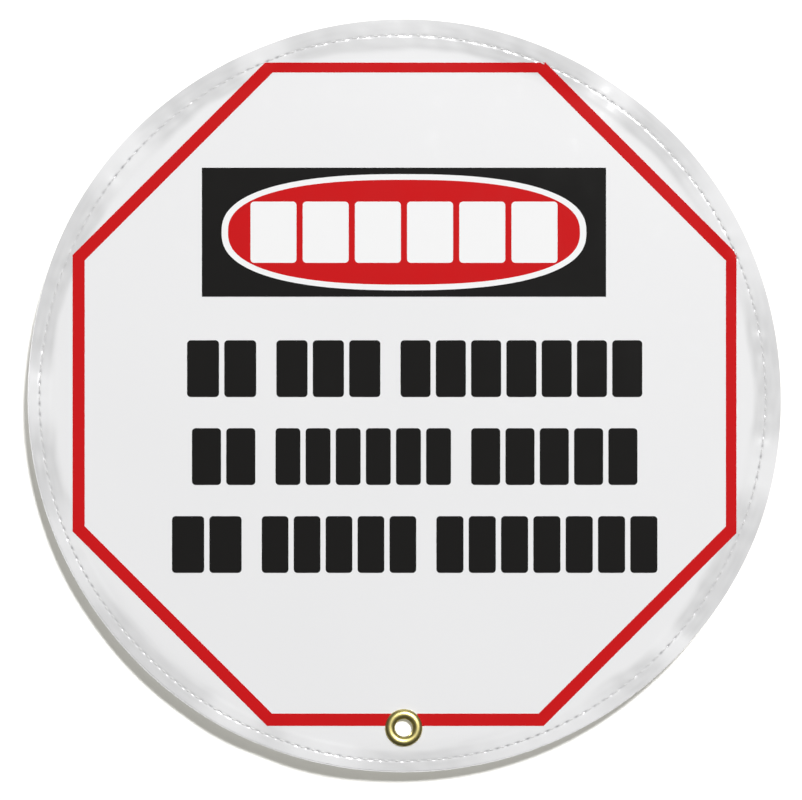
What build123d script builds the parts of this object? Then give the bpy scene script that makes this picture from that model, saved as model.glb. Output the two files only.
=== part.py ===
from build123d import *
import os
from math import asin, copysign, cos, degrees, radians, sin, sqrt

# A round slip-on message cover for a vehicle's steering wheel. A printed vinyl disc has a facing ring
# and a half-moon pocket sewn to its back by one seam round the rim, a bound pocket mouth, and a brass
# grommet at the bottom. Millimetres, +Z up. The printed face looks along -Y and the pocket is behind
# it, on the +Y side. The origin is the disc's centre on the back face of the front panel.

os.makedirs("parts", exist_ok=True)

# Sheets and layers. The front panel lies from y = -sheet to 0, the ink in front of it and the facing,
# then the pocket's flange, behind it.
disc_radius = 304.8
sheet = 0.6
ink = 0.1
tape = 0.5

# Facing ring and the rim seam.
facing_radius = 283.0
seam_radius = 291.9
seam_stitches = 214
stitch_share = 0.6
thread_width = 0.8
thread_height = 0.35

# Pocket: a flange under the seam, a wall that turns back round the wheel's rim, and a flat rear sheet.
pocket_depth = 32.0
pocket_shoulder = 3.0
pocket_bends = [6.0, 14.0, 200.0]
pocket_foot_radius = 283.0
pocket_wall_radius = 261.0
pocket_flat_radius = 226.0
mouth_z = -40.0
binding_width = 11.0
binding_end_radius = 281.0
binding_seam_rise = 7.5
binding_pitch = 5.0
bar_tack_length = 14.0
bar_tack_width = 3.0
bar_tack_height = 0.5
bar_tack_radius = 287.8
bar_tack_rise = 9.8

# Grommet: an eyelet with a rolled rim, turned over a washer of the same size behind. Heights of the
# turned end and the washer are y, and reaches are from the barrel's outside.
grommet_x = 1.0
grommet_z = -265.0
grommet_bore = 7.15
grommet_wall = 0.5
grommet_radius = 15.1
grommet_crown = 2.3
grommet_clearance = 0.1
rim_mouth_rise = 0.7
turn_inside_y = 1.62
turn_bore_y = 1.92
turn_lip_y = 2.28
turn_lip_reach = 2.2
turn_top_y = 3.12
turn_top_reach = 0.8
washer_bore_y = 1.56
washer_crown_y = 2.04
washer_crown_shift = 0.4
washer_edge = 0.2
sheet_hole = grommet_bore + grommet_wall + grommet_clearance
tab_width = 46.0
tab_top = 23.0
tab_foot = 31.0
tab_corner = 12.0

# Printed face. The artwork sits a little off the disc's centre.
art_x = 1.2
octagon_x = 1.6
octagon_z = 3.2
octagon_flats = 533.4
border_width = 9.6
border_corner = 1.0
header_width = 325.0
header_height = 103.8
header_z = 133.5
header_corner = 1.0
keyline_width = 293.3
keyline_height = 93.4
oval_width = 283.0
oval_height = 84.3
oval_power = 2.44
oval_points = 48
block_corner = 3.0
signal_height = 49.2
signal_word = (246.8, 6)
signal_gap = 5.0
legend_height = 45.7
legend_pitch = 70.7
legend_first_z = 23.8
legend_x = 9.8
legend_gap = 4.2
legend_space = 16.2

# Each line of the legend, as the width of each word's row of blocks and how many blocks it has.
legend_lines = [
    [(55.6, 2), (83.6, 3), (194.4, 7)],
    [(51.0, 2), (141.1, 6), (133.7, 5)],
    [(56.0, 2), (124.2, 5), (177.7, 7)],
]

front_face = Plane.XZ.offset(sheet)
facing_back = Plane.XZ.offset(-sheet)
flange_back = Plane.XZ.offset(-2 * sheet)


def finish(piece, name):
    """Names a finished piece and writes it to its own file."""
    piece.part.label = name
    export_step(piece.part, f"parts/{name}.step")


def row_of_blocks(left, centre_z, width, count, gap, height):
    """Draws count equal rounded blocks, gap apart, that fill width from left."""
    block = (width - gap * (count - 1)) / count
    for number in range(count):
        with Locations((left + block / 2 + number * (block + gap), centre_z)):
            RectangleRounded(block, height, block_corner)


def full_oval(width, height):
    """Sketch of an oval fuller than an ellipse: |2x / width| and |2z / height|, each raised to
    oval_power, add up to 1."""
    with BuildSketch() as oval:
        with BuildLine():
            points = []
            for number in range(oval_points):
                turn = radians(360 * number / oval_points)
                across = copysign(abs(cos(turn)) ** (2 / oval_power), cos(turn))
                up = copysign(abs(sin(turn)) ** (2 / oval_power), sin(turn))
                points.append((across * width / 2, up * height / 2))
            Spline(*points, periodic=True)
        make_face()
    return oval.sketch


def pocket_wall(grow):
    """The pocket's sheet turned full circle about Y, with both faces moved out by grow."""
    with BuildPart() as wall:
        with BuildSketch(Plane.XY):
            with BuildLine():
                FilletPolyline(
                    (disc_radius, sheet),
                    (pocket_foot_radius, sheet),
                    (pocket_wall_radius, pocket_depth - pocket_shoulder),
                    (pocket_flat_radius, pocket_depth),
                    (0, pocket_depth),
                    radius=pocket_bends,
                )
                offset(amount=sheet, side=Side.RIGHT)
            make_face()
            if grow:
                offset(amount=grow, kind=Kind.INTERSECTION)
            split(bisect_by=Plane.YZ, keep=Keep.TOP)
        revolve(axis=Axis.Y)
    return wall.part


# Front panel: the white vinyl disc, punched for the grommet.
with BuildPart() as front_panel:
    with BuildSketch(Plane.XZ):
        Circle(disc_radius)
        with Locations((grommet_x, grommet_z)):
            Circle(sheet_hole, mode=Mode.SUBTRACT)
    extrude(amount=sheet)
finish(front_panel, "front_panel")

# Edge facing: a ring of the same sheet that stiffens the rim, widened into a tab behind the grommet.
with BuildPart() as edge_facing:
    with BuildSketch(Plane.XZ):
        Circle(disc_radius)
        Circle(facing_radius, mode=Mode.SUBTRACT)
        with Locations((grommet_x, grommet_z + (tab_top - tab_foot) / 2)):
            RectangleRounded(tab_width, tab_top + tab_foot, tab_corner)
        with Locations((grommet_x, grommet_z)):
            Circle(sheet_hole, mode=Mode.SUBTRACT)
    extrude(amount=-sheet)
finish(edge_facing, "edge_facing")

# Rear pocket panel: a half moon that covers the upper back, deep enough for the wheel's rim.
pocket_sheet = pocket_wall(0)
with BuildPart() as rear_pocket_panel:
    add(pocket_sheet)
    split(bisect_by=Plane.XY.offset(mouth_z), keep=Keep.TOP)
finish(rear_pocket_panel, "rear_pocket_panel")

# Mouth binding: a tape folded over the pocket's free edge, from wall foot to wall foot.
taped_sheet = pocket_wall(tape)
with BuildPart() as pocket_mouth_binding:
    add(taped_sheet)
    with BuildSketch(Plane.XZ):
        Circle(binding_end_radius)
        with Locations((0, mouth_z - tape + binding_width / 2)):
            Rectangle(2 * disc_radius, binding_width, mode=Mode.INTERSECT)
    extrude(amount=2 * pocket_depth, both=True, mode=Mode.INTERSECT)
    add(rear_pocket_panel.part, mode=Mode.SUBTRACT)
finish(pocket_mouth_binding, "pocket_mouth_binding")

# Binding stitches: short threads that lie on both leaves of the tape, one straight row.
binding_seam_z = mouth_z + binding_seam_rise
binding_half = sqrt(binding_end_radius**2 - binding_seam_z**2) - binding_pitch
binding_count = int(2 * binding_half / binding_pitch)
with BuildPart() as binding_stitches:
    add(pocket_wall(tape + thread_height))
    with BuildSketch(Plane.XZ):
        with Locations((0, binding_seam_z)):
            with GridLocations(binding_pitch, 1, binding_count, 1):
                SlotOverall(binding_pitch * stitch_share, thread_width)
    extrude(amount=2 * pocket_depth, both=True, mode=Mode.INTERSECT)
    add(taped_sheet, mode=Mode.SUBTRACT)
finish(binding_stitches, "binding_stitches")

# Rim seam: the needle thread shows on the front and the bobbin thread on the back, where it lies on
# the pocket's flange above the mouth and on the facing below it.
stitch_angle = 360 / seam_stitches
stitch_length = 2 * seam_radius * sin(radians(stitch_angle / 2)) * stitch_share
mouth_angle = degrees(asin(-mouth_z / seam_radius))
flange_stitches = 2 * int((90 + mouth_angle) / stitch_angle)
flange_start = 90 - (flange_stitches - 1) / 2 * stitch_angle


def rim_stitches(plane, start, count):
    """Sketch of count stitches laid end to end round the seam, from the start angle, on the plane."""
    with BuildSketch(plane) as stitches:
        with PolarLocations(seam_radius, count, start, count * stitch_angle):
            SlotOverall(stitch_length, thread_width, rotation=90)
    return stitches.sketch


with BuildPart() as rim_needle_thread:
    extrude(rim_stitches(front_face, flange_start, seam_stitches), amount=thread_height)
finish(rim_needle_thread, "rim_needle_thread")

facing_stitches = seam_stitches - flange_stitches
facing_start = flange_start + flange_stitches * stitch_angle
with BuildPart() as rim_bobbin_thread:
    extrude(rim_stitches(flange_back, flange_start, flange_stitches), amount=-thread_height)
    extrude(rim_stitches(facing_back, facing_start, facing_stitches), amount=-thread_height)
finish(rim_bobbin_thread, "rim_bobbin_thread")

# Mouth bar tacks: dense bars of thread that lock the pocket's two bottom corners to the rim.
tack_angle = degrees(asin((mouth_z + bar_tack_rise) / bar_tack_radius))
with BuildPart() as mouth_bar_tacks:
    with BuildSketch(flange_back):
        with PolarLocations(bar_tack_radius, 2, tack_angle, 180 - 2 * tack_angle, endpoint=True):
            SlotOverall(bar_tack_length, bar_tack_width, rotation=90)
    extrude(amount=-bar_tack_height)
finish(mouth_bar_tacks, "mouth_bar_tacks")

# Grommet eyelet: brass, with a crowned rim in front and a barrel that passes through both sheets and
# is turned over the washer.
grommet_plane = Plane((grommet_x, 0, grommet_z), x_dir=(1, 0, 0), z_dir=(0, 0, 1))
grommet_axis = Axis((grommet_x, 0, grommet_z), (0, 1, 0))
barrel = grommet_bore + grommet_wall
rim_seat = -sheet - ink
rim_middle = (grommet_bore + grommet_radius) / 2
with BuildPart() as grommet_eyelet:
    with BuildSketch(grommet_plane):
        with BuildLine():
            mouth = (grommet_bore, rim_seat - rim_mouth_rise)
            outer_foot = (grommet_radius, rim_seat)
            inner_foot = (grommet_radius - grommet_wall, rim_seat)
            barrel_front = (barrel, rim_seat)
            barrel_back = (barrel, turn_inside_y)
            lip = (barrel + turn_lip_reach, turn_lip_y)
            roll_end = (grommet_bore, turn_bore_y)
            ThreePointArc(mouth, (rim_middle, rim_seat - grommet_crown), outer_foot)
            Line(outer_foot, inner_foot)
            ThreePointArc(
                inner_foot,
                (rim_middle, rim_seat - grommet_crown + grommet_wall),
                barrel_front,
            )
            Line(barrel_front, barrel_back)
            Line(barrel_back, lip)
            ThreePointArc(lip, (barrel + turn_top_reach, turn_top_y), roll_end)
            Line(roll_end, mouth)
        make_face()
    revolve(axis=grommet_axis)
finish(grommet_eyelet, "grommet_eyelet")

# Grommet washer: the crowned ring behind the facing that the barrel is turned over.
with BuildPart() as grommet_washer:
    with BuildSketch(grommet_plane):
        with BuildLine():
            washer_top = (barrel + grommet_clearance, washer_bore_y)
            washer_crown = (rim_middle + washer_crown_shift, washer_crown_y)
            washer_rim = (grommet_radius, sheet + washer_edge)
            ThreePointArc(washer_top, washer_crown, washer_rim)
            Polyline(
                washer_rim,
                (grommet_radius, sheet),
                (barrel + grommet_clearance, sheet),
                washer_top,
            )
        make_face()
    revolve(axis=grommet_axis)
finish(grommet_washer, "grommet_washer")

# Border print: a red eight-sided band that runs under the grommet and stops short of the rim seam.
with BuildPart() as border_print:
    with BuildSketch(front_face) as band:
        with Locations((octagon_x, octagon_z)):
            RegularPolygon(octagon_flats / 2, 8, major_radius=False, rotation=22.5)
            fillet(band.vertices(), border_corner)
            RegularPolygon(
                octagon_flats / 2 - border_width, 8, major_radius=False, rotation=22.5, mode=Mode.SUBTRACT
            )
        Circle(seam_radius - thread_width, mode=Mode.INTERSECT)
        with Locations((grommet_x, grommet_z)):
            Circle(sheet_hole, mode=Mode.SUBTRACT)
    extrude(amount=ink)
finish(border_print, "border_print")

# Header print: a black panel round the oval.
with BuildPart() as header_print:
    with BuildSketch(front_face):
        with Locations((art_x, header_z)):
            RectangleRounded(header_width, header_height, header_corner)
            add(full_oval(keyline_width, keyline_height), mode=Mode.SUBTRACT)
    extrude(amount=ink)
finish(header_print, "header_print")

# Oval keyline print: the white line between the black panel and the red oval.
with BuildPart() as oval_keyline_print:
    with BuildSketch(front_face):
        with Locations((art_x, header_z)):
            add(full_oval(keyline_width, keyline_height))
            add(full_oval(oval_width, oval_height), mode=Mode.SUBTRACT)
    extrude(amount=ink)
finish(oval_keyline_print, "oval_keyline_print")

# Signal blocks print: a row of plain white blocks that stands where a signal word goes.
signal_width, signal_blocks = signal_word
with BuildPart() as signal_blocks_print:
    with BuildSketch(front_face):
        row_of_blocks(
            art_x - signal_width / 2, header_z, signal_width, signal_blocks, signal_gap, signal_height
        )
    extrude(amount=ink)
finish(signal_blocks_print, "signal_blocks_print")

# Oval print: the red oval round the signal blocks.
with BuildPart() as oval_print:
    with BuildSketch(front_face):
        with Locations((art_x, header_z)):
            add(full_oval(oval_width, oval_height))
    extrude(amount=ink)
    add(signal_blocks_print.part, mode=Mode.SUBTRACT)
finish(oval_print, "oval_print")

# Legend prints: three lines of plain black blocks that stand where a message goes.
for number, words in enumerate(legend_lines):
    line_width = sum(width for width, count in words) + legend_space * (len(words) - 1)
    line_z = legend_first_z - number * legend_pitch
    with BuildPart() as legend_print:
        with BuildSketch(front_face):
            left = legend_x - line_width / 2
            for width, count in words:
                row_of_blocks(left, line_z, width, count, legend_gap, legend_height)
                left += width + legend_space
        extrude(amount=ink)
    finish(legend_print, f"legend_line_{number + 1}_print")
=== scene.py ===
import math

import bmesh
import bpy
import numpy as np
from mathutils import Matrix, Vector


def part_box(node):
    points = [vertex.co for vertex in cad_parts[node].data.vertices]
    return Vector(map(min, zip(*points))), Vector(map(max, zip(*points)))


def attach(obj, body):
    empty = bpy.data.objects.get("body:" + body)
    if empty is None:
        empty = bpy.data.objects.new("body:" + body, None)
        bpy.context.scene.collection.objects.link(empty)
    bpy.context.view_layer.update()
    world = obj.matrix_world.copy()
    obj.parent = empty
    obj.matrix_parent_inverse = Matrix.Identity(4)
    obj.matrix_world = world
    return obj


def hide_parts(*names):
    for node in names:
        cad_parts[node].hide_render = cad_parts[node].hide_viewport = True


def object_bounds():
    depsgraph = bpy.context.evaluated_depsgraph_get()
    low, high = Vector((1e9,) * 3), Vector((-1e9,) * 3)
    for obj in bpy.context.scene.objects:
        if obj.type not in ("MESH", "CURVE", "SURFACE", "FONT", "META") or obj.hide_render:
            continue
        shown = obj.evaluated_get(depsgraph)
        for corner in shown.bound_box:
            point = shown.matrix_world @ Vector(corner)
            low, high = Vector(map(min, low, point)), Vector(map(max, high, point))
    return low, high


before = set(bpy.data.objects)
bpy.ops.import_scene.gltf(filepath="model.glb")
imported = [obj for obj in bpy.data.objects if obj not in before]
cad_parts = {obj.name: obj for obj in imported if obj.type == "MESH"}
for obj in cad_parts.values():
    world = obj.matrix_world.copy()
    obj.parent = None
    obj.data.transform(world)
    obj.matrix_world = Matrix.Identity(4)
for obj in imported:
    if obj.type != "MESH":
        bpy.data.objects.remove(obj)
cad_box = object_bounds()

# ---- Front panel -------------------------------------------------------------------------------
# A disc of white supported PVC sheet. The rim seam pulls the hem behind it tight, so the rim rises
# and falls in shallow waves, and the thread sinks into a row of needle holes.

panel_low, panel_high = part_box("front_panel")
eyelet_low, eyelet_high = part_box("grommet_eyelet")
thread_low, thread_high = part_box("rim_needle_thread")
disc_radius = (panel_high.x - panel_low.x) / 2
sheet = panel_high.y - panel_low.y
thread_width = 0.0009
seam_radius = (thread_high.x - thread_low.x) / 2 - thread_width / 2
seam_stitches = 214
seam_turn = 2 * math.pi / seam_stitches
hem_radius = 0.283
grommet_x = (eyelet_low.x + eyelet_high.x) / 2
grommet_z = (eyelet_low.z + eyelet_high.z) / 2
grommet_radius = (eyelet_high.x - eyelet_low.x) / 2
sheet_hole = 0.00775

# Where the rim lies flat, as the angle of the middle and the half width, in degrees; the hem's painted
# shade is light there.
# Elsewhere the hem curls away from the reader and its painted shade is darker.
flat_places = [
    (27, 11), (56, 4), (112, 4), (140, 6), (180, 5), (206, 8), (242, 5), (257, 7), (292, 12),
    (317, 3), (349, 5),
]


def smooth(x):
    """0 below 0, 1 above 1, and 3x^2 - 2x^3 between."""
    x = np.clip(x, 0, 1)
    return x * x * (3 - 2 * x)


def ripple(x, z, length, seed):
    """Soft random waves: the mean of seven sine waves of about this length, each in its own
    direction."""
    draw = np.random.default_rng(seed)
    total = 0
    for _ in range(7):
        way, shift = draw.uniform(0, 2 * math.pi, 2)
        count = 2 * math.pi / (length * draw.uniform(0.7, 1.4))
        total = total + np.sin(count * (x * math.cos(way) + z * math.sin(way)) + shift)
    return total / 7


def rim_curl(x, z):
    """How far the hem curls away at each angle: 1, less a bell curve at each flat place."""
    angle = np.degrees(np.arctan2(z, x)) % 360
    curl = np.ones_like(angle)
    for middle, half in flat_places:
        apart = (angle - middle + 180) % 360 - 180
        curl = curl - np.exp(-(np.abs(apart) / half) ** 3)
    return np.clip(curl, 0, 1)


def rim_drop(x, z):
    """Depth of the panel's back behind the plane of the face: the hem's curl grows from inside the hem
    to the rim, backwards at the lower left and a little forwards at the upper right, and a long wave
    round the rim and soft ripples in the field are added."""
    radius, angle = np.hypot(x, z), np.arctan2(z, x)
    out = smooth((radius - hem_radius + 0.009) / (disc_radius - hem_radius + 0.009))
    lean = 0.0007 - 0.0022 * np.cos(angle - 0.9)
    curl = lean * rim_curl(x, z) * out
    wave = 0.0007 * np.sin(9 * angle + 0.6) * out + 0.0005 * np.sin(5 * angle + 2.1) * out
    field = 0.0003 * ripple(x, z, 0.21, 3) * smooth((0.29 - radius) / 0.08)
    return curl + wave + field


def seam_dent(x, z):
    """Depth of the dent under the rim thread: a groove along the seam, a pit at each needle hole and
    short puckers that run out from the seam on both sides."""
    radius, angle = np.hypot(x, z), np.arctan2(z, x)
    off = radius - seam_radius
    beat = 0.5 - 0.5 * np.cos(angle / seam_turn * 2 * math.pi)
    groove = 0.00016 * np.exp(-(off / 0.0011) ** 2)
    pit = 0.00034 * beat**4 * np.exp(-(off / 0.0008) ** 2)
    swell = np.sin(61 * angle + 1.3) + np.sin(83 * angle + 4.0) + np.sin(107 * angle)
    pucker = 0.00009 * swell * np.exp(-(off / 0.0065) ** 2)
    step = -0.00022 * smooth((radius - hem_radius + 0.002) / 0.004)
    return groove + pit + pucker + step


def face_depth(x, z):
    """y of the front panel's printed face."""
    return rim_drop(x, z) + seam_dent(x, z) - sheet


def closed_sheet(name, front, back, wrap):
    """Makes a closed mesh of two grids of points, indexed row, column, xyz, that share their columns:
    the front, the back, and a wall that joins their first rows and their last rows. A sheet that
    doesn't wrap has the same rows on both faces, and walls down its first and last columns too."""
    columns = front.shape[1]
    points = np.concatenate([front.reshape(-1, 3), back.reshape(-1, 3)])
    front_id = np.arange(front.shape[0] * columns).reshape(front.shape[0], columns)
    back_id = np.arange(back.shape[0] * columns).reshape(back.shape[0], columns) + front_id.size
    if wrap:
        front_id = np.hstack([front_id, front_id[:, :1]])
        back_id = np.hstack([back_id, back_id[:, :1]])

    def quads(grid):
        """The four corners of every cell of a grid of point numbers, one cell a row."""
        return np.stack([grid[:-1, :-1], grid[:-1, 1:], grid[1:, 1:], grid[1:, :-1]], -1).reshape(-1, 4)

    faces = [
        quads(front_id),
        quads(back_id)[:, ::-1],
        quads(np.stack([back_id[0], front_id[0]])),
        quads(np.stack([front_id[-1], back_id[-1]])),
    ]
    if not wrap:
        faces.append(quads(np.stack([front_id[:, 0], back_id[:, 0]])))
        faces.append(quads(np.stack([back_id[:, -1], front_id[:, -1]])))
    faces = np.concatenate(faces)
    a, b, c, d = (points[faces[:, corner]] for corner in range(4))
    volume = (a * (np.cross(b, c) + np.cross(c, d))).sum()
    if volume < 0:
        faces = faces[:, ::-1]
    mesh = bpy.data.meshes.new(name)
    mesh.from_pydata(points, [], faces.tolist())
    return mesh


def add_object(name, data):
    """Puts a mesh, a light or a camera on a new object of the scene, at the origin."""
    holder = bpy.data.objects.new(name, data)
    bpy.context.scene.collection.objects.link(holder)
    return holder


def finish_mesh(mesh, sharp=35.0, merge=0.0):
    """Joins points closer than merge, shades the mesh smooth except at edges sharper than sharp
    degrees, and puts it on an object at the origin."""
    if merge:
        shape = bmesh.new()
        shape.from_mesh(mesh)
        bmesh.ops.remove_doubles(shape, verts=shape.verts, dist=merge)
        loose = [edge for edge in shape.edges if not edge.link_faces]
        bmesh.ops.delete(shape, geom=loose, context="EDGES")
        shape.to_mesh(mesh)
        shape.free()
    mesh.validate()
    mesh.shade_smooth()
    mesh.set_sharp_from_angle(angle=math.radians(sharp))
    return add_object(mesh.name, mesh)


def raised(x, z, y):
    """Stacks x, y and z arrays of one shape into points."""
    return np.stack([x, y, z], -1)


def hole_to_ring(shares, radius, angles):
    """Circles that grow from the grommet's hole, at share 0, to the circle of this radius round the
    disc's middle, at share 1, as x and z grids of row and column. No circle crosses the next."""
    share, angle = shares[:, None], angles[None, :]
    reach = sheet_hole + (radius - sheet_hole) * share
    x = grommet_x * (1 - share) + reach * np.cos(angle)
    z = grommet_z * (1 - share) + reach * np.sin(angle)
    return x, z


def ring_rows(radii, angles, past=0.0):
    """x and z grids of circles round the disc's middle, one row for each radius. The rim was trimmed by
    hand after sewing, so the margin outside the seam narrows along the lower left. A layer that was
    cut less there reaches past the front panel."""
    radii = np.broadcast_to(radii[:, None], np.broadcast_shapes((len(radii), 1), np.shape(angles)))
    degrees = np.degrees(angles) % 360
    lower_left = smooth((degrees - 148) / 34) * smooth((342 - degrees) / 62)
    trimmed = (0.0044 - past) * lower_left + 0.0003 * np.sin(7 * angles + 0.8) + 0.0003
    margin = 1 - trimmed / (disc_radius - seam_radius)
    reach = seam_radius + (radii - seam_radius) * np.where(radii > seam_radius, margin, 1)
    return reach * np.cos(angles), reach * np.sin(angles)


panel_angles = np.arange(6 * seam_stitches) * seam_turn / 6
field_edge = 0.275
seam_rows = np.concatenate([
    np.linspace(field_edge, seam_radius - 0.0022, 13)[1:],
    np.linspace(seam_radius - 0.0016, seam_radius + 0.0016, 9),
    np.linspace(seam_radius + 0.0026, disc_radius - 0.0003, 11),
    [disc_radius],
])
field_x, field_z = hole_to_ring(np.linspace(0, 1, 20), field_edge, panel_angles)
seam_x, seam_z = ring_rows(seam_rows, panel_angles)
panel_x, panel_z = np.vstack([field_x, seam_x]), np.vstack([field_z, seam_z])
field_x, field_z = hole_to_ring(np.linspace(0, 1, 9), field_edge, panel_angles)
seam_x, seam_z = ring_rows(np.array([hem_radius, seam_radius, disc_radius]), panel_angles)
back_x, back_z = np.vstack([field_x, seam_x]), np.vstack([field_z, seam_z])
front_mesh = closed_sheet(
    "front_sheet",
    raised(panel_x, panel_z, face_depth(panel_x, panel_z)),
    raised(back_x, back_z, rim_drop(back_x, back_z)),
    wrap=True,
)


def mark(mesh, name, values):
    """Writes one number for each point of the mesh, from a function of x and z, for its material."""
    points = np.empty(len(mesh.vertices) * 3, np.float32)
    mesh.vertices.foreach_get("co", points)
    points = points.reshape(-1, 3)
    layer = mesh.attributes.new(name, "FLOAT", "POINT")
    layer.data.foreach_set("value", values(points[:, 0], points[:, 2]).astype(np.float32))


def hem_layers_and_shade(x, z):
    """1 where three layers lie tight together behind the face and look greyer, and 0 in the field, with
    painted
    shade on top: darkest where the hem curls away, fading where the hem lies flat. The band's inner
    edge wanders and its tone is streaky. Bell curves of the angle make it paler along the lower left
    and at the top."""
    radius, angle = np.hypot(x, z), np.arctan2(z, x)
    wander = 0.0016 * np.sin(7 * angle + 0.5) + 0.0012 * np.sin(17 * angle + 2.0)
    inner = hem_radius - 0.0045 + wander + 0.0016 * ripple(x, z, 0.03, 21)
    band = smooth((radius - inner) / 0.0065)
    streaks = 0.88 + 0.22 * ripple(radius, angle * 0.05, 0.006, 22) + 0.18 * ripple(x, z, 0.02, 23)
    lower_left = np.exp(-((angle + 1.9) / 0.9) ** 2)
    top = np.exp(-((angle - 1.6) / 0.2) ** 2)
    paler = 1 - 0.32 * lower_left - 0.45 * top
    return np.clip(band * (0.08 + 0.92 * rim_curl(x, z) ** 1.5) * streaks * paler, 0, 1)


def needle_hole_shade(x, z):
    """Painted shade in the needle holes: 1 in the middle of each hole, fading out within a thread's
    width. The painted shade fades where the hem curls."""
    radius, angle = np.hypot(x, z), np.arctan2(z, x)
    beat = 0.5 - 0.5 * np.cos(angle / seam_turn * 2 * math.pi)
    hole = beat**2 * np.exp(-((radius - seam_radius) / 0.0008) ** 2)
    return 0.7 * hole * (1 - 0.85 * rim_curl(x, z))


# Both attributes carry painted shade for the front panel's material.
mark(front_mesh, "hem", hem_layers_and_shade)
mark(front_mesh, "hole_shade", needle_hole_shade)
front_panel = finish_mesh(front_mesh)


def new_group(name, inputs, outputs):
    """A shader node group with float inputs, as name and default, and outputs, as name and kind."""
    group = bpy.data.node_groups.new(name, "ShaderNodeTree")
    for label, default in inputs:
        socket = group.interface.new_socket(label, in_out="INPUT", socket_type="NodeSocketFloat")
        socket.default_value = default
    for label, kind in outputs:
        group.interface.new_socket(label, in_out="OUTPUT", socket_type=f"NodeSocket{kind}")
    return group


def wire(tree, start, end):
    """Links one node's output to another's input, each given as node and socket name or number."""
    tree.links.new(start[0].outputs[start[1]], end[0].inputs[end[1]])


def math_node(tree, operation, first, second):
    """A Math node on two values, each a number or a node and socket."""
    node = tree.nodes.new("ShaderNodeMath")
    node.operation = operation
    for place, value in enumerate((first, second)):
        if isinstance(value, tuple):
            tree.links.new(value[0].outputs[value[1]], node.inputs[place])
        else:
            node.inputs[place].default_value = value
    return node


def noise_node(tree, scale, detail, roughness=0.5):
    """A noise texture on Object coordinates, with scale in blotches per metre."""
    place = tree.nodes.new("ShaderNodeTexCoord")
    noise = tree.nodes.new("ShaderNodeTexNoise")
    noise.inputs["Scale"].default_value = scale
    noise.inputs["Detail"].default_value = detail
    noise.inputs["Roughness"].default_value = roughness
    wire(tree, (place, "Object"), (noise, "Vector"))
    return noise


def span(tree, value, low, high, start=0.0, end=1.0):
    """Maps a value between start and end to the range from low to high, and holds it past them."""
    node = tree.nodes.new("ShaderNodeMapRange")
    sockets = {"From Min": start, "From Max": end, "To Min": low, "To Max": high}
    for label, number in sockets.items():
        node.inputs[label].default_value = number
    tree.links.new(value[0].outputs[value[1]], node.inputs["Value"])
    return node


def build_grain():
    """Calendered sheet: a fine pebble from the rollers over a slow unevenness, as a height from 0 to 1,
    and a mask of faint handling marks."""
    group = new_group(
        "calendered_grain",
        [("Pebble scale", 900.0), ("Slow share", 0.5)],
        [("Height", "Float"), ("Marks", "Float")],
    )
    entry = group.nodes.new("NodeGroupInput")
    leave = group.nodes.new("NodeGroupOutput")
    pebble = noise_node(group, 900.0, 2.0)
    wire(group, (entry, "Pebble scale"), (pebble, "Scale"))
    slow = noise_node(group, 22.0, 1.0)
    slow_part = math_node(group, "MULTIPLY", (slow, "Fac"), (entry, "Slow share"))
    height = math_node(group, "ADD", (pebble, "Fac"), (slow_part, 0))
    wire(group, (height, 0), (leave, "Height"))
    rubbed = noise_node(group, 60.0, 5.0, 0.65)
    edge = span(group, (rubbed, "Fac"), 0.0, 1.0, 0.56, 0.78)
    wire(group, (edge, "Result"), (leave, "Marks"))
    return group


calendered_grain = build_grain()


def new_material(name):
    """An empty node material with its Principled BSDF and output, as material, tree and shader."""
    material = bpy.data.materials.new(name)
    material.use_nodes = True
    return material, material.node_tree, material.node_tree.nodes["Principled BSDF"]


def mix_colour(tree, share, first, second, blend="MIX"):
    """Mixes two colours by a share. Each is a colour, or a node and socket."""
    node = tree.nodes.new("ShaderNodeMix")
    node.data_type = "RGBA"
    node.blend_type = blend
    sockets = {"share": node.inputs[0], "first": node.inputs[6], "second": node.inputs[7]}
    for key, value in (("share", share), ("first", first), ("second", second)):
        if isinstance(value[0] if isinstance(value, tuple) else value, bpy.types.Node):
            tree.links.new(value[0].outputs[value[1]], sockets[key])
        elif key == "share":
            sockets[key].default_value = value
        else:
            sockets[key].default_value = (*value, 1)
    return node


def bump_node(tree, height, distance, strength):
    """A bump from a height output, distance in metres."""
    bump = tree.nodes.new("ShaderNodeBump")
    bump.inputs["Distance"].default_value = distance
    bump.inputs["Strength"].default_value = strength
    tree.links.new(height[0].outputs[height[1]], bump.inputs["Height"])
    return bump


def build_vinyl(name, tone, hem_grey_and_shade, gloss):
    """White gloss PVC sheet: a near-even white, greyer in the hem from the layers behind and from
    painted shade where the hem curls, painted shade in the needle holes, with the rollers' grain and
    faint handling marks in its gloss."""
    material, tree, shader = new_material(name)
    grain = tree.nodes.new("ShaderNodeGroup")
    grain.node_tree = calendered_grain
    blotch = noise_node(tree, 5.0, 2.0)
    clean = mix_colour(tree, (blotch, "Fac"), tone, tuple(0.975 * part for part in tone))
    hem = tree.nodes.new("ShaderNodeAttribute")
    hem.attribute_name = "hem"
    # The hem's grey is partly the layers behind the face and partly painted shade of the curled hem.
    hem_shaded = mix_colour(tree, (hem, "Fac"), (clean, 2), hem_grey_and_shade)
    hole_shade = tree.nodes.new("ShaderNodeAttribute")
    hole_shade.attribute_name = "hole_shade"
    # Painted shade in the needle holes.
    hole_shaded = mix_colour(tree, (hole_shade, "Fac"), (hem_shaded, 2), (0.10, 0.10, 0.11))
    wire(tree, (hole_shaded, 2), (shader, "Base Color"))
    rough = span(tree, (grain, "Marks"), gloss, gloss + 0.06)
    wire(tree, (rough, "Result"), (shader, "Roughness"))
    bump = bump_node(tree, (grain, "Height"), 0.00004, 0.5)
    wire(tree, (bump, "Normal"), (shader, "Normal"))
    return material


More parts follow.
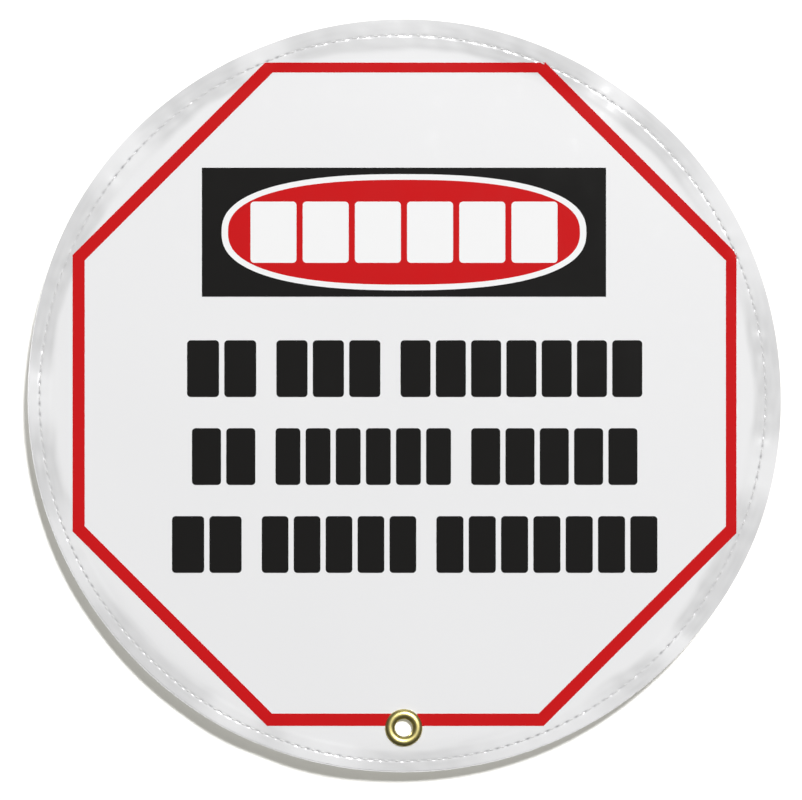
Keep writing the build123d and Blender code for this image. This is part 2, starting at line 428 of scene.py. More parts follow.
# The hem colour stands for the grey of the layers behind and for painted shade of the curled hem.
white_vinyl = build_vinyl("white_vinyl", (0.86, 0.86, 0.865), (0.665, 0.665, 0.668), 0.18)
front_panel.data.materials.append(white_vinyl)
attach(front_panel, "root")
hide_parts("front_panel")

# ---- Edge facing and grommet patch -------------------------------------------------------------
# A ring of the same sheet behind the rim, caught by the seam, and a rounded patch of it that the
# grommet is set through. Both lie against the back of the front panel.

ring_angles = np.arange(3 * seam_stitches) * seam_turn / 3
ring_radii = np.linspace(hem_radius, disc_radius, 9)
ring_x, ring_z = ring_rows(ring_radii, ring_angles, past=0.0011)
edge_facing = finish_mesh(
    closed_sheet(
        "facing_ring",
        raised(ring_x, ring_z, rim_drop(ring_x, ring_z)),
        raised(ring_x, ring_z, rim_drop(ring_x, ring_z) + sheet),
        wrap=True,
    )
)


def rounded_outline(width, height, corner, angles):
    """Points round a rounded rectangle: a quarter circle about each corner's centre. The angle gives
    the quarter and the place on it."""
    across, up = np.cos(angles), np.sin(angles)
    x = np.sign(across) * (width / 2 - corner) + corner * across
    z = np.sign(up) * (height / 2 - corner) + corner * up
    return x, z


patch_width, patch_height, patch_corner = 0.046, 0.054, 0.012
patch_drop = 0.004
patch_angles = (np.arange(96) + 0.5) * 2 * math.pi / 96
patch_rim_x, patch_rim_z = rounded_outline(patch_width, patch_height, patch_corner, patch_angles)
patch_share = np.linspace(0, 1, 9)[:, None]
patch_x = grommet_x + sheet_hole * np.cos(patch_angles) * (1 - patch_share) + patch_rim_x * patch_share
patch_z = (
    grommet_z
    + sheet_hole * np.sin(patch_angles) * (1 - patch_share)
    + (patch_rim_z - patch_drop) * patch_share
)
patch_lift = 0.9 * sheet * smooth((np.hypot(patch_x, patch_z) - hem_radius + 0.006) / 0.006)
patch_y = rim_drop(patch_x, patch_z) + patch_lift
grommet_patch = finish_mesh(
    closed_sheet(
        "grommet_patch",
        raised(patch_x, patch_z, patch_y),
        raised(patch_x, patch_z, patch_y + sheet),
        wrap=True,
    )
)
facing_vinyl = build_vinyl("facing_vinyl", (0.84, 0.84, 0.845), (0.70, 0.70, 0.70), 0.42)
for piece in (edge_facing, grommet_patch):
    piece.data.materials.append(facing_vinyl)
    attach(piece, "root")
    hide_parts("edge_facing")

# ---- Rear pocket panel -------------------------------------------------------------------------
# A half moon of the same sheet, sewn flat under the rim seam. Its fullness is gathered into the wall
# that turns back round the wheel, so the wall puckers and the rear sheet has soft folds that run
# from the two ends of its mouth.

pocket_low, pocket_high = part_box("rear_pocket_panel")
mouth_z = pocket_low.z
pocket_depth = pocket_high.y
wall_foot = 0.287
tack_x = 0.285


def pocket_front(x, z):
    """y of the pocket sheet's inner face: flat on the facing at the seam, then a smooth wall, then a
    slightly crowned sheet, with puckers on the wall, folds from the mouth's ends and a slack mouth."""
    radius, angle = np.hypot(x, z), np.arctan2(z, x)
    wall = smooth((wall_foot - radius) / 0.032)
    crown = smooth((0.262 - radius) / 0.075)
    rise = (pocket_depth - 2 * sheet - 0.0045) * wall + 0.0030 * crown
    gather = np.sin(29 * angle + 0.4) + 0.8 * np.sin(43 * angle + 2.0) + 0.6 * np.sin(67 * angle + 5.1)
    breath = 0.65 + 0.35 * np.sin(5 * angle + 1.0)
    on_wall = np.exp(-((radius - 0.266) / 0.012) ** 2)
    into_sheet = np.exp(-((0.262 - radius) / 0.045) ** 2) * crown
    pucker = gather * breath * (0.0012 * on_wall + 0.0007 * into_sheet)
    folds = 0
    for side in (-1, 1):
        along = tack_x - side * x
        above = z - mouth_z
        turn = np.arctan2(above, along + 0.004)
        reach = np.hypot(along, above)
        fade = smooth(reach / 0.05) * np.exp(-reach / 0.17)
        folds = folds + (np.cos(15 * turn + 0.7 + side) + 0.6 * np.cos(26 * turn + side)) * fade
    to_mouth = np.exp(-((z - mouth_z) / 0.05) ** 2) * crown
    slack = 0.0016 * np.cos(17 * x + 0.5) + 0.0010 * np.sin(41 * x + 1.1) - 0.0016
    soft = 0.0034 * ripple(x, z, 0.19, 8) + 0.0013 * ripple(x, z, 0.07, 9)
    return sheet + rim_drop(x, z) * (1 - wall) + rise + pucker + (
        0.0022 * folds * crown + to_mouth * slack + soft * crown
    )


pocket_radii = np.concatenate([np.linspace(disc_radius, 0.288, 9), np.linspace(0.2865, 0.246, 28)])
pocket_share = np.linspace(0, 1, 480)[None, :]
lowest = -np.arcsin(-mouth_z / pocket_radii)[:, None]
arc_x, arc_z = ring_rows(pocket_radii, lowest + (math.pi - 2 * lowest) * pocket_share, past=0.0006)
arc_z[:, [0, -1]] = mouth_z
inward = np.linspace(1, 0, 50)[1:, None]
pocket_x = np.vstack([arc_x, arc_x[-1] * inward])
pocket_z = np.vstack([arc_z, mouth_z + (arc_z[-1] - mouth_z) * inward])
pocket_y = pocket_front(pocket_x, pocket_z)
rear_pocket_panel = finish_mesh(
    closed_sheet(
        "rear_pocket_sheet",
        raised(pocket_x, pocket_z, pocket_y),
        raised(pocket_x, pocket_z, pocket_y + sheet),
        wrap=False,
    ),
    merge=1e-6,
)
pocket_vinyl = build_vinyl("pocket_vinyl", (0.84, 0.84, 0.845), (0.70, 0.70, 0.70), 0.36)
rear_pocket_panel.data.materials.append(pocket_vinyl)
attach(rear_pocket_panel, "root")
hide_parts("rear_pocket_panel")

# ---- Pocket mouth binding ----------------------------------------------------------------------
# A woven polyester tape folded over the pocket's free edge and sewn through both leaves, so its two
# selvedges show, with a soft rounded fold below.

tape = 0.0005
tape_leaf = 0.0105
tape_rib = 0.0024
tape_gap = 0.00003


def across_pocket(x, z):
    """Unit direction out of the pocket sheet's rear face, from the slope of its height."""
    step = 0.0005
    slope_x = (pocket_front(x + step, z) - pocket_front(x - step, z)) / (2 * step)
    slope_z = (pocket_front(x, z + step) - pocket_front(x, z - step)) / (2 * step)
    way = np.stack([-slope_x, np.ones_like(slope_x), -slope_z], -1)
    return way / np.linalg.norm(way, axis=-1, keepdims=True)


def tape_point(x, height, lift):
    """Points on the mouth's tape: height above the mouth's edge, and lift out of the middle of the
    pocket sheet, behind it where positive and in front of it where negative."""
    z = np.full_like(x, mouth_z) + np.maximum(height, 0)
    base = raised(x, z, pocket_front(x, z) + sheet / 2)
    base = base + across_pocket(x, z) * np.broadcast_to(lift, x.shape)[..., None]
    base[..., 2] += np.minimum(height, 0)
    return base


tape_half = 0.2785
tape_x = np.linspace(-tape_half, tape_half, 560)[None, :]
leaf = np.linspace(tape_leaf, 0, 8)
fold = np.linspace(0, math.pi, 9)[1:-1]
path_height = np.concatenate([leaf, -(sheet / 2 + tape) * np.sin(fold), leaf[::-1]])[:, None]
path_side = np.concatenate([np.ones(8), np.cos(fold), -np.ones(8)])[:, None]
tape_grid_x = tape_x + 0 * path_height
weave_rise = 0.00006 * np.sin(tape_grid_x * 2 * math.pi / tape_rib)
outer_lift = path_side * (sheet / 2 + tape + weave_rise)
inner_lift = path_side * (sheet / 2 + tape_gap)
mouth_binding = finish_mesh(
    closed_sheet(
        "mouth_binding",
        tape_point(tape_grid_x, path_height + 0 * tape_x, outer_lift),
        tape_point(tape_grid_x, path_height * 0.97 + 0 * tape_x, inner_lift),
        wrap=False,
    ),
    sharp=50,
)


def build_weave():
    """Plain woven tape on Object coordinates: ribs across the tape and finer warp along it, as a height
    from 0 to 1 and a mask of the gaps between yarns, where the tape's material paints shade."""
    group = new_group(
        "plain_weave",
        [("Ribs", 5200.0), ("Warps", 6300.0)],
        [("Height", "Float"), ("Gaps", "Float")],
    )
    entry = group.nodes.new("NodeGroupInput")
    leave = group.nodes.new("NodeGroupOutput")
    place = group.nodes.new("ShaderNodeTexCoord")
    split = group.nodes.new("ShaderNodeSeparateXYZ")
    wire(group, (place, "Object"), (split, "Vector"))
    waves = []
    for axis, count in (("X", "Ribs"), ("Z", "Warps")):
        turns = math_node(group, "MULTIPLY", (split, axis), (entry, count))
        waves.append(math_node(group, "SINE", (turns, 0), 0.0))
    product = math_node(group, "MULTIPLY", (waves[0], 0), (waves[1], 0))
    height = math_node(group, "MULTIPLY_ADD", (product, 0), 0.5)
    height.inputs[2].default_value = 0.5
    wire(group, (height, 0), (leave, "Height"))
    gaps = math_node(group, "LESS_THAN", (height, 0), 0.12)
    wire(group, (gaps, 0), (leave, "Gaps"))
    return group


plain_weave = build_weave()


def build_tape():
    """White polyester tape: woven ribs with painted shade in the gaps between yarns, and a soft sheen.
    """
    material, tree, shader = new_material("binding_tape")
    weave = tree.nodes.new("ShaderNodeGroup")
    weave.node_tree = plain_weave
    dusty = noise_node(tree, 30.0, 3.0)
    yarn = mix_colour(tree, (dusty, "Fac"), (0.84, 0.84, 0.835), (0.78, 0.78, 0.77))
    # Painted shade in the gaps between yarns.
    gap_shaded = mix_colour(tree, (weave, "Gaps"), (yarn, 2), (0.60, 0.60, 0.59))
    wire(tree, (gap_shaded, 2), (shader, "Base Color"))
    bump = bump_node(tree, (weave, "Height"), 0.00015, 0.8)
    wire(tree, (bump, "Normal"), (shader, "Normal"))
    shader.inputs["Roughness"].default_value = 0.72
    shader.inputs["Sheen Weight"].default_value = 0.35
    shader.inputs["Sheen Roughness"].default_value = 0.4
    return material


mouth_binding.data.materials.append(build_tape())
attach(mouth_binding, "root")
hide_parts("pocket_mouth_binding")

# ---- Threads -----------------------------------------------------------------------------------
# Bonded white polyester thread. Each stitch is a short, slightly arched length that dives into a
# needle hole at both ends. The rim seam shows on the front and the back, the tape's on both leaves.


def face_outwards(mesh):
    """Turns every face of a closed mesh outwards."""
    shape = bmesh.new()
    shape.from_mesh(mesh)
    bmesh.ops.recalc_face_normals(shape, faces=shape.faces)
    shape.to_mesh(mesh)
    shape.free()


def stitch_meshes(name, middles, alongs, outs, length, arch=0.0002, sides=8):
    """One mesh of many stitches. Each is a tube round a shallow arch, sin-shaped, from hole to hole,
    thinner at its ends, with two plies that turn round each other."""
    places = np.linspace(-1, 1, 9)
    around = np.arange(sides) * 2 * math.pi / sides
    rise = arch * (1 - 2.6 * np.abs(places) ** 3.2)
    girth = thread_width / 2 * np.sqrt(np.clip(1 - np.abs(places) ** 6, 0.02, 1))
    ply = 1 + 0.10 * np.cos(2 * (around[None, :] - 2.6 * places[:, None]))
    wide = np.cos(around)[None, :] * girth[:, None] * ply
    tall = np.sin(around)[None, :] * girth[:, None] * ply * 0.8 + rise[:, None]
    long = np.repeat((places * length / 2)[:, None], sides, 1)
    sideways = np.cross(alongs, outs)
    points = (
        middles[:, None, None, :]
        + alongs[:, None, None, :] * long[None, :, :, None]
        + outs[:, None, None, :] * tall[None, :, :, None]
        + sideways[:, None, None, :] * wide[None, :, :, None]
    )
    count, rings = len(middles), len(places)
    number = np.arange(count * rings * sides).reshape(count, rings, sides)
    turned = np.roll(number, -1, axis=2)
    walls = np.stack([number[:, :-1], turned[:, :-1], turned[:, 1:], number[:, 1:]], -1).reshape(-1, 4)
    caps = np.concatenate([number[:, 0, ::-1], number[:, -1]])
    mesh = bpy.data.meshes.new(name)
    mesh.from_pydata(points.reshape(-1, 3), [], walls.tolist() + caps.tolist())
    face_outwards(mesh)
    return finish_mesh(mesh, sharp=60)


def build_thread():
    """Bonded thread: off-white, slightly glossy, with a fine twist."""
    material, tree, shader = new_material("seam_thread")
    fuzz = noise_node(tree, 2500.0, 2.0)
    tone = mix_colour(tree, (fuzz, "Fac"), (0.75, 0.75, 0.745), (0.67, 0.67, 0.66))
    wire(tree, (tone, 2), (shader, "Base Color"))
    bump = bump_node(tree, (fuzz, "Fac"), 0.0001, 0.6)
    wire(tree, (bump, "Normal"), (shader, "Normal"))
    shader.inputs["Roughness"].default_value = 0.65
    shader.inputs["Specular IOR Level"].default_value = 0.3
    return material


seam_thread = build_thread()
stitch_length = seam_turn * seam_radius * 0.46


def rim_stitches(name, angles, depth, out):
    """Stitches at these angles of the seam, on the surface whose y is depth(x, z), facing along out."""
    x, z = seam_radius * np.cos(angles), seam_radius * np.sin(angles)
    middles = raised(x, z, depth(x, z))
    alongs = np.stack([-np.sin(angles), 0 * angles, np.cos(angles)], -1)
    draw = np.random.default_rng(len(angles))
    tilt = draw.normal(0, 0.03, len(angles))
    radial = np.stack([np.cos(angles), 0 * angles, np.sin(angles)], -1)
    alongs = alongs + radial * tilt[:, None]
    alongs = alongs / np.linalg.norm(alongs, axis=1, keepdims=True)
    outs = np.tile(np.array([0.0, out, 0.0]), (len(angles), 1))
    return stitch_meshes(name, middles, alongs, outs, stitch_length)


stitch_angles = np.arange(seam_stitches) * seam_turn
mouth_turn = math.asin(-mouth_z / seam_radius)
from_top = np.abs((stitch_angles - math.pi / 2 + math.pi) % (2 * math.pi) - math.pi)
on_flange = from_top < math.pi / 2 + mouth_turn - seam_turn / 2
needle_thread = rim_stitches("needle_stitches", stitch_angles, face_depth, -1)


def facing_back(x, z):
    """y of the facing's rear face."""
    return rim_drop(x, z) + sheet


def flange_back(x, z):
    """y of the pocket flange's rear face."""
    return pocket_front(x, z) + sheet


bobbin_high = rim_stitches("bobbin_stitches_flange", stitch_angles[on_flange], flange_back, 1)
bobbin_low = rim_stitches("bobbin_stitches_facing", stitch_angles[~on_flange], facing_back, 1)

binding_pitch = 0.005
tape_seam = 0.0072
binding_x = np.arange(-tape_half + 0.004, tape_half - 0.003, binding_pitch)
binding_step = np.stack([binding_x - 0.001, binding_x + 0.001])
binding_pieces = []
for leaf_name, side in (("rear", 1), ("inner", -1)):
    lift = side * (sheet / 2 + tape + 0.00008)
    seam_line = tape_point(binding_step, np.full_like(binding_step, tape_seam), lift)
    alongs = seam_line[1] - seam_line[0]
    alongs = alongs / np.linalg.norm(alongs, axis=1, keepdims=True)
    outs = side * across_pocket(binding_x, np.full_like(binding_x, mouth_z + tape_seam))
    binding_pieces.append(
        stitch_meshes(
            f"binding_stitches_{leaf_name}",
            seam_line.mean(0),
            alongs,
            outs,
            binding_pitch * 0.66,
            sides=6,
        )
    )

# Each bar tack is a close zigzag of the same thread over the pocket's bottom corner.
tack_low, tack_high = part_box("mouth_bar_tacks")
tack_length = tack_high.z - tack_low.z
tack_rows = 34
tack_radius = 0.2878
tack_stitch = 0.0034
tack_pieces = []
for side in (-1, 1):
    share = np.linspace(-0.5, 0.5, tack_rows)
    tack_z = (tack_low.z + tack_high.z) / 2 + share * tack_length
    tack_centre_x = side * np.sqrt(tack_radius**2 - tack_z**2)
    middles = raised(tack_centre_x, tack_z, flange_back(tack_centre_x, tack_z) + 0.0001)
    outward = np.stack([tack_centre_x, 0 * tack_z, tack_z], -1) / tack_radius
    slant = np.where(np.arange(tack_rows) % 2, 0.09, -0.09)[:, None]
    alongs = outward + slant * np.array([0.0, 0.0, 1.0])
    alongs = alongs / np.linalg.norm(alongs, axis=1, keepdims=True)
    outs = np.tile(np.array([0.0, 1.0, 0.0]), (tack_rows, 1))
    side_name = "left" if side < 0 else "right"
    tack_pieces.append(
        stitch_meshes(f"bar_tack_{side_name}", middles, alongs, outs, tack_stitch, arch=0.0003, sides=6)
    )
for node, group in (
    ("rim_needle_thread", [needle_thread]),
    ("rim_bobbin_thread", [bobbin_high, bobbin_low]),
    ("binding_stitches", binding_pieces),
    ("mouth_bar_tacks", tack_pieces),
):
    for piece in group:
        piece.data.materials.append(seam_thread)
        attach(piece, "root")
        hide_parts(node)

# ---- Grommet -----------------------------------------------------------------------------------
# A stamped brass eyelet with a rolled rim, its barrel spread over a matching washer behind. Its tone
# and gloss vary at random where it has tarnished.


def lathe(name, radii, depths, steps=128):
    """A closed profile of radius and depth turned about the grommet's axis."""
    turn = np.arange(steps) * 2 * math.pi / steps
    x = grommet_x + radii[:, None] * np.cos(turn)
    z = grommet_z + radii[:, None] * np.sin(turn)
    y = np.repeat(depths[:, None], steps, 1)
    count = len(radii)
    number = np.arange(count * steps).reshape(count, steps)
    below, beside = np.roll(number, -1, 0), np.roll(number, -1, 1)
    faces = np.stack([number, beside, np.roll(below, -1, 1), below], -1).reshape(-1, 4)
    mesh = bpy.data.meshes.new(name)
    mesh.from_pydata(raised(x, z, y).reshape(-1, 3), [], faces.tolist())
    face_outwards(mesh)
    return finish_mesh(mesh, sharp=50)


def arc(centre_radius, centre_depth, wide, tall, start, end, count):
    """Part of an ellipse in the profile, from start to end degrees, 0 outwards and 90 to the front."""
    turn = np.radians(np.linspace(start, end, count))
    return centre_radius + wide * np.cos(turn), centre_depth - tall * np.sin(turn)


bore = 0.00715
brass_wall = 0.0005
seat = face_depth(np.array(grommet_x), np.array(grommet_z - 0.012))
roll_middle = (bore + grommet_radius) / 2
roll_half = (grommet_radius - bore) / 2
roll_seat = seat - 0.0003
roll_rise = 0.0027
front_r, front_y = arc(roll_middle, roll_seat, roll_half, roll_rise, -25, 180, 34)
inner_r, inner_y = arc(
    roll_middle, roll_seat, roll_half - brass_wall, roll_rise - brass_wall, 180, -10, 20
)
lip_half = 0.0019
lip_rise = 0.0011
lip_depth = 0.0022
back_r, back_y = arc(bore + lip_half, lip_depth, lip_half, lip_rise, 180, 340, 14)
lip_r, lip_y = arc(
    bore + lip_half, lip_depth, lip_half - brass_wall, lip_rise - brass_wall, 330, 180, 10
)
eyelet_r = np.concatenate([front_r, back_r, lip_r, inner_r])
eyelet_y = np.concatenate([front_y, back_y, lip_y, inner_y])
eyelet = lathe("eyelet", eyelet_r, eyelet_y)
washer_wall = 0.0004
washer_middle = roll_middle + washer_wall
washer_half = roll_half - washer_wall
washer_seat = 0.0013
washer_rise = 0.0011
washer_outer_r, washer_outer_y = arc(
    washer_middle, washer_seat, washer_half, washer_rise, 0, -180, 26
)
washer_inner_r, washer_inner_y = arc(
    washer_middle, washer_seat, washer_half - washer_wall, washer_rise - washer_wall, -180, 0, 20
)
washer = lathe(
    "washer",
    np.concatenate([washer_outer_r, washer_inner_r]),
    np.concatenate([washer_outer_y, washer_inner_y]),
)


def build_brass():
    """Stamped brass: warm yellow, browner where it has tarnished, with fine drawing lines and small
    knocks in its gloss."""
    material, tree, shader = new_material("grommet_brass")
    tarnish = noise_node(tree, 420.0, 4.0, 0.6)
    metal = mix_colour(tree, (tarnish, "Fac"), (0.72, 0.63, 0.27), (0.42, 0.36, 0.12))
    wire(tree, (metal, 2), (shader, "Base Color"))
    shader.inputs["Metallic"].default_value = 1.0
    rough = span(tree, (tarnish, "Fac"), 0.28, 0.48)
    wire(tree, (rough, "Result"), (shader, "Roughness"))
    knocks = noise_node(tree, 900.0, 3.0)
    bump = bump_node(tree, (knocks, "Fac"), 0.00006, 0.5)
    wire(tree, (bump, "Normal"), (shader, "Normal"))
    return material


grommet_brass = build_brass()
for piece, node in ((eyelet, "grommet_eyelet"), (washer, "grommet_washer")):
    piece.data.materials.append(grommet_brass)
    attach(piece, "root")
    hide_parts(node)

# ---- Printed face ------------------------------------------------------------------------------
# Opaque gloss screen ink on the vinyl: a red border, a black header round a white-lined red oval, and
# plain blocks where the words of such a cover go. Every film follows the sheet under it.

ink = 0.0001


def film(name, x, z, wrap, lift=0.0, merge=0.0):
    """A film of ink over the grid of x and z, ink thick, lying lift above the printed face."""
    face = face_depth(x, z) - lift
    mesh = closed_sheet(name, raised(x, z, face - ink), raised(x, z, face - ink * 0.15), wrap)
    return finish_mesh(mesh, merge=merge)


def build_ink(name, colour, dark):
    """Screen ink: a full colour with a very slight unevenness and orange peel, under gloss."""
    material, tree, shader = new_material(name)
    uneven = noise_node(tree, 45.0, 4.0)
    tone = mix_colour(tree, (uneven, "Fac"), colour, dark)
    wire(tree, (tone, 2), (shader, "Base Color"))
    peel = noise_node(tree, 700.0, 2.0)
    bump = bump_node(tree, (peel, "Fac"), 0.00001, 0.4)
    wire(tree, (bump, "Normal"), (shader, "Normal"))
    rough = span(tree, (uneven, "Fac"), 0.08, 0.16)
    wire(tree, (rough, "Result"), (shader, "Roughness"))
    shader.inputs["Specular IOR Level"].default_value = 0.3
    return material


red_ink = build_ink("red_ink", (0.62, 0.0108, 0.0128), (0.57, 0.0096, 0.0113))
black_ink = build_ink("black_ink", (0.014, 0.0135, 0.013), (0.011, 0.0105, 0.010))
white_ink = build_ink("white_ink", (0.92, 0.92, 0.92), (0.90, 0.90, 0.90))


def place_print(piece, node, material):
    """Gives a film its ink and joins it to the object in place of its CAD node."""
    piece.data.materials.append(material)
    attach(piece, "root")
    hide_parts(node)


border_low, border_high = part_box("border_print")
border_x = (border_low.x + border_high.x) / 2
border_z = (border_low.z + border_high.z) / 2
border_flat = (border_high.x - border_low.x) / 2
border_gap = 0.0105

# The sides, from the bottom one anticlockwise. The sheet has stretched a little towards its upper
# right, and the top and right sides were printed thinner.
border_stretch = np.array([0.0, 0.0010, 0.0002, 0.0020, 0.0, 0.0012, 0.0002, 0.0])
border_widths = np.array([0.0100, 0.0099, 0.0085, 0.0100, 0.0080, 0.0100, 0.0098, 0.0099])
eighth = math.pi / 4


def octagon_corners(reach):
    """The corner after each side of an octagon whose sides lie at these distances from its middle,
    where each side meets the next, as rows of x and z."""
    turn = -math.pi / 2 + eighth * np.arange(8)
    along = (np.roll(reach, -1) - reach * math.cos(eighth)) / math.sin(eighth)
    x = border_x + reach * np.cos(turn) - along * np.sin(turn)
    z = border_z + reach * np.sin(turn) + along * np.cos(turn)
    return np.stack([x, z])


outer_corners = octagon_corners(border_flat + border_stretch)
inner_corners = octagon_corners(border_flat + border_stretch - border_widths)
side_length = 2 * border_flat * math.tan(eighth / 2)
gap_share = border_gap / side_length
gap_shift = (grommet_x - border_x) / side_length
border_place = np.unique(np.concatenate([
    np.linspace(gap_shift + gap_share, 8 + gap_shift - gap_share, 480),
    np.arange(8) + 0.5,
]))
border_side = np.floor(border_place + 0.5).astype(int)
border_share = border_place + 0.5 - border_side
across = np.linspace(0, 1, 6)[:, None, None]
corners = inner_corners * (1 - across) + outer_corners * across
corners = np.moveaxis(corners.reshape(6, 2, 8), 1, 0)
before, after = corners[..., (border_side - 1) % 8], corners[..., border_side % 8]
octagon_x, octagon_z = before * (1 - border_share) + after * border_share
border = film("border_film", octagon_x, octagon_z, wrap=False)
place_print(border, "border_print", red_ink)

header_low, header_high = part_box("header_print")
header_x = (header_low.x + header_high.x) / 2
header_z = (header_low.z + header_high.z) / 2
oval_turn = np.arange(192) * 2 * math.pi / 192
oval_power = 2.44


def oval(node):
    """x and z round the oval of a node's box, fuller than an ellipse: |2x / width| and |2z / height|,
    each raised to oval_power, add up to 1."""
    low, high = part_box(node)
    across, up = np.cos(oval_turn), np.sin(oval_turn)
    x = np.sign(across) * np.abs(across) ** (2 / oval_power) * (high.x - low.x) / 2
    z = np.sign(up) * np.abs(up) ** (2 / oval_power) * (high.z - low.z) / 2
    return x, z


def ring_film(name, inner, outer, rows, merge=0.0):
    """A film between two outlines round the header's middle, each an x and a z array."""
    share = np.linspace(0, 1, rows)[:, None]
    x = header_x + inner[0] * (1 - share) + outer[0] * share
    z = header_z + inner[1] * (1 - share) + outer[1] * share
    return film(name, x, z, wrap=True, merge=merge)


square = np.maximum(np.abs(np.cos(oval_turn)), np.abs(np.sin(oval_turn)))
header_edge = (
    np.cos(oval_turn) / square * (header_high.x - header_low.x) / 2,
    np.sin(oval_turn) / square * (header_high.z - header_low.z) / 2,
)
keyline_edge, oval_edge = oval("oval_keyline_print"), oval("oval_print")
middle = (0 * oval_turn, 0 * oval_turn)
header = ring_film("header_film", keyline_edge, header_edge, 7)
place_print(header, "header_print", black_ink)
keyline = ring_film("oval_keyline_film", oval_edge, keyline_edge, 4)
place_print(keyline, "oval_keyline_print", white_ink)
oval_field = ring_film("oval_film", middle, oval_edge, 16, merge=1e-6)
place_print(oval_field, "oval_print", red_ink)

block_corner = 0.003
signal_gap = 0.005
legend_gap = 0.0042
signal_lift = 0.00004


def block_meshes(name, centres, centre_z, width, height, lift):
    """Films for a row of equal rounded blocks, one grid each: rows of points up the block, each row
    as wide as the rounded rectangle is at its height."""
    turn = np.linspace(0, math.pi / 2, 7)
    corner_z = height / 2 - block_corner + block_corner * np.sin(turn)
    straight = np.linspace(-height / 2 + block_corner, height / 2 - block_corner, 9)[1:-1]
    up = np.concatenate([-corner_z[::-1], straight, corner_z])
    past = np.clip(np.abs(up) - height / 2 + block_corner, 0, block_corner)
    half = width / 2 - block_corner + np.sqrt(block_corner**2 - past**2)
    across = np.linspace(-1, 1, 9)[None, :] * half[:, None]
    pieces = []
    for number, centre in enumerate(centres):
        x = centre + across
        z = centre_z + np.repeat(up[:, None], 9, 1)
        pieces.append(film(f"{name}_{number + 1}", x, z, wrap=False, lift=lift))
    return pieces


def word_blocks(left, width, count, gap):
    """Middles and width of count equal blocks, gap apart, that fill width from left."""
    block = (width - gap * (count - 1)) / count
    return left + block / 2 + np.arange(count) * (block + gap), block


signal_low, signal_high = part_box("signal_blocks_print")
centres, block = word_blocks(signal_low.x, signal_high.x - signal_low.x, 6, signal_gap)
signal_middle = (signal_low.z + signal_high.z) / 2
signal_height = signal_high.z - signal_low.z
for piece in block_meshes(
    "signal_block", centres, signal_middle, block, signal_height, signal_lift
):
    place_print(piece, "signal_blocks_print", white_ink)

# The words of each legend line, as the width of the word and how many blocks it has.
legend_words = [
    [(0.0556, 2), (0.0836, 3), (0.1944, 7)],
    [(0.0510, 2), (0.1411, 6), (0.1337, 5)],
    [(0.0560, 2), (0.1242, 5), (0.1777, 7)],
]
word_space = 0.0162
for line, words in enumerate(legend_words):
    node = f"legend_line_{line + 1}_print"
    low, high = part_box(node)
    left = low.x
    for word, (width, count) in enumerate(words):
        centres, block = word_blocks(left, width, count, legend_gap)
        name = f"legend_{line + 1}_word_{word + 1}"
        for piece in block_meshes(name, centres, (low.z + high.z) / 2, block, high.z - low.z, 0.0):
            place_print(piece, node, black_ink)
        left += width + word_space

# ---- Studio ------------------------------------------------------------------------------------
# A pale floor under the hanging cover, a white wall just behind it and a card behind the grommet, a
# key lamp above and to the right of the camera, softer lamps overhead and behind, and a pale room.

wall_y = cad_box[1].y + 0.001
floor_z = cad_box[0].z - 0.042
card_y = eyelet_high.y + 0.003
card_half = 0.012


def stage_plane(name, corners, material):
    """A flat four-cornered stage piece."""
    mesh = bpy.data.meshes.new(name)
    mesh.from_pydata(corners, [], [(0, 1, 2, 3)])
    mesh.materials.append(material)
    plane = add_object(name, mesh)
    return plane


def mix_shaders(tree, share, first, second, output):
    """Sends the output the first shader where share is 0 and the second where it is 1."""
    mix = tree.nodes.new("ShaderNodeMixShader")
    wire(tree, share, (mix, 0))
    wire(tree, (first, 0), (mix, 1))
    wire(tree, (second, 0), (mix, 2))
    wire(tree, (mix, 0), (tree.nodes[output], "Surface"))


def build_wall():
    """White wall that is lit a little by itself. It has no back, and only the camera sees it, so it
    neither lights nor shades the cover."""
    material, tree, shader = new_material("studio_wall")
    shader.inputs["Base Color"].default_value = (0.98, 0.98, 0.97, 1)
    shader.inputs["Roughness"].default_value = 1.0
    shader.inputs["Specular IOR Level"].default_value = 0.0
    shader.inputs["Emission Color"].default_value = (1, 0.97, 0.80, 1)
    shader.inputs["Emission Strength"].default_value = 0.195
    clear = tree.nodes.new("ShaderNodeBsdfTransparent")
    path = tree.nodes.new("ShaderNodeLightPath")
    geometry = tree.nodes.new("ShaderNodeNewGeometry")
    front = math_node(tree, "SUBTRACT", 1.0, (geometry, "Backfacing"))
    seen = math_node(tree, "MULTIPLY", (front, 0), (path, "Is Camera Ray"))
    mix_shaders(tree, (seen, 0), clear, shader, "Material Output")
    return material


def upright(low_x, high_x, low_z, high_z, y):
    """Corners of an upright rectangle that faces the camera."""
    return [(low_x, y, low_z), (high_x, y, low_z), (high_x, y, high_z), (low_x, y, high_z)]


wall_reach = 3.0
studio_wall = build_wall()
stage_plane("studio_wall", upright(-wall_reach, wall_reach, floor_z, wall_reach, wall_y), studio_wall)
card_x = grommet_x - card_half, grommet_x + card_half
card_z = grommet_z - card_half, grommet_z + card_half
stage_plane("grommet_card", upright(*card_x, *card_z, card_y), studio_wall)
floor_material, floor_tree, floor_shader = new_material("studio_floor")
floor_shader.inputs["Base Color"].default_value = (0.86, 0.86, 0.85, 1)
floor_shader.inputs["Roughness"].default_value = 0.8
floor_shader.inputs["Emission Color"].default_value = (1, 1, 0.99, 1)
floor_shader.inputs["Emission Strength"].default_value = 0.2
floor_material.cycles.emission_sampling = "NONE"
floor_place = floor_tree.nodes.new("ShaderNodeTexCoord")
floor_length = floor_tree.nodes.new("ShaderNodeVectorMath")
floor_length.operation = "LENGTH"
wire(floor_tree, (floor_place, "Object"), (floor_length, 0))
floor_fade = span(floor_tree, (floor_length, "Value"), 0.0, 1.0, 1.0, 3.4)
floor_fade.interpolation_type = "SMOOTHSTEP"
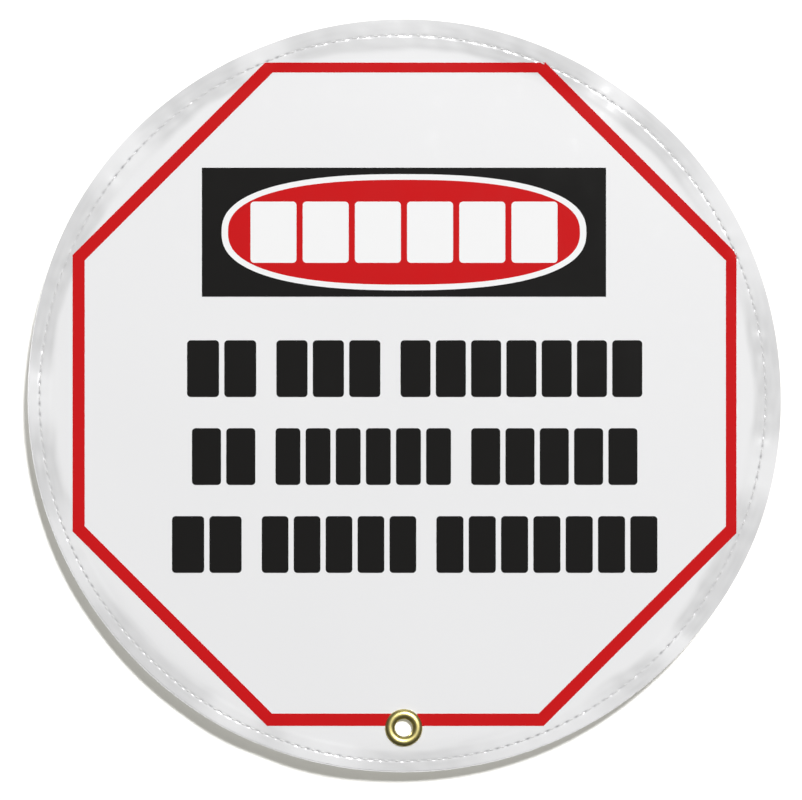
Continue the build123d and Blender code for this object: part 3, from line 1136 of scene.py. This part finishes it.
floor_clear = floor_tree.nodes.new("ShaderNodeBsdfTransparent")
mix_shaders(floor_tree, (floor_fade, "Result"), floor_shader, floor_clear, "Material Output")
floor_reach = 10.0
floor_corners = [
    (side * floor_reach, depth * floor_reach, floor_z)
    for side, depth in ((-1, -1), (1, -1), (1, 1), (-1, 1))
]
studio_floor = stage_plane("studio_floor", floor_corners, floor_material)
studio_floor.visible_glossy = False
studio_floor.visible_diffuse = False

world = bpy.data.worlds.new("studio_room")
bpy.context.scene.world = world
world.use_nodes = True
room_tree = world.node_tree
room_place = room_tree.nodes.new("ShaderNodeTexCoord")
room_split = room_tree.nodes.new("ShaderNodeSeparateXYZ")
wire(room_tree, (room_place, "Generated"), (room_split, "Vector"))
room_rise = span(room_tree, (room_split, "Z"), 0.0, 1.0, -0.6, 0.8)
room_colour = mix_colour(room_tree, (room_rise, "Result"), (0.42, 0.42, 0.43), (1.0, 1.0, 1.0))
room_light = room_tree.nodes["Background"]
wire(room_tree, (room_colour, 2), (room_light, "Color"))
room_back = span(room_tree, (room_split, "Y"), 0.12, 0.44, 0.0, 0.6)
wire(room_tree, (room_back, "Result"), (room_light, "Strength"))
room_seen = room_tree.nodes.new("ShaderNodeBackground")
room_seen.inputs["Color"].default_value = (1.0, 1.0, 0.995, 1)
room_path = room_tree.nodes.new("ShaderNodeLightPath")
mix_shaders(room_tree, (room_path, "Is Camera Ray"), room_light, room_seen, "World Output")


def lamp(name, place, size, power, aim=(0.0, 0.0, 0.0)):
    """A square area lamp at a place, turned to face aim."""
    light = bpy.data.lights.new(name, "AREA")
    light.size = size
    light.energy = power
    holder = add_object(name, light)
    holder.location = place
    way = np.array(aim) - np.array(place)
    holder.rotation_euler = (
        math.acos(-way[2] / np.linalg.norm(way)),
        0,
        math.atan2(way[1], way[0]) - math.pi / 2,
    )
    return holder


key_distance = 12.0
key_right, key_up = 0.162 * key_distance, 0.305 * key_distance
lamp("key_lamp", (key_right, -key_distance, key_up), 1.0, 1530)
lamp("top_lamp", (0.0, -0.40, 2.6), 1.8, 11)
lamp("rear_lamp", (-2.7, 1.7, 2.0), 0.8, 84)
lamp("side_lamp", (2.8, 0.9, 0.6), 1.4, 9)

camera_data = bpy.data.cameras.new("camera")
camera_data.lens = 200
camera_data.sensor_width = 36
camera = add_object("camera", camera_data)
camera_distance = 3.583
camera.location = (-0.0012, -camera_distance, -0.0014)
camera.rotation_euler = (math.pi / 2, 0, 0)
bpy.context.scene.camera = camera
bpy.context.scene.view_settings.view_transform = "Standard"
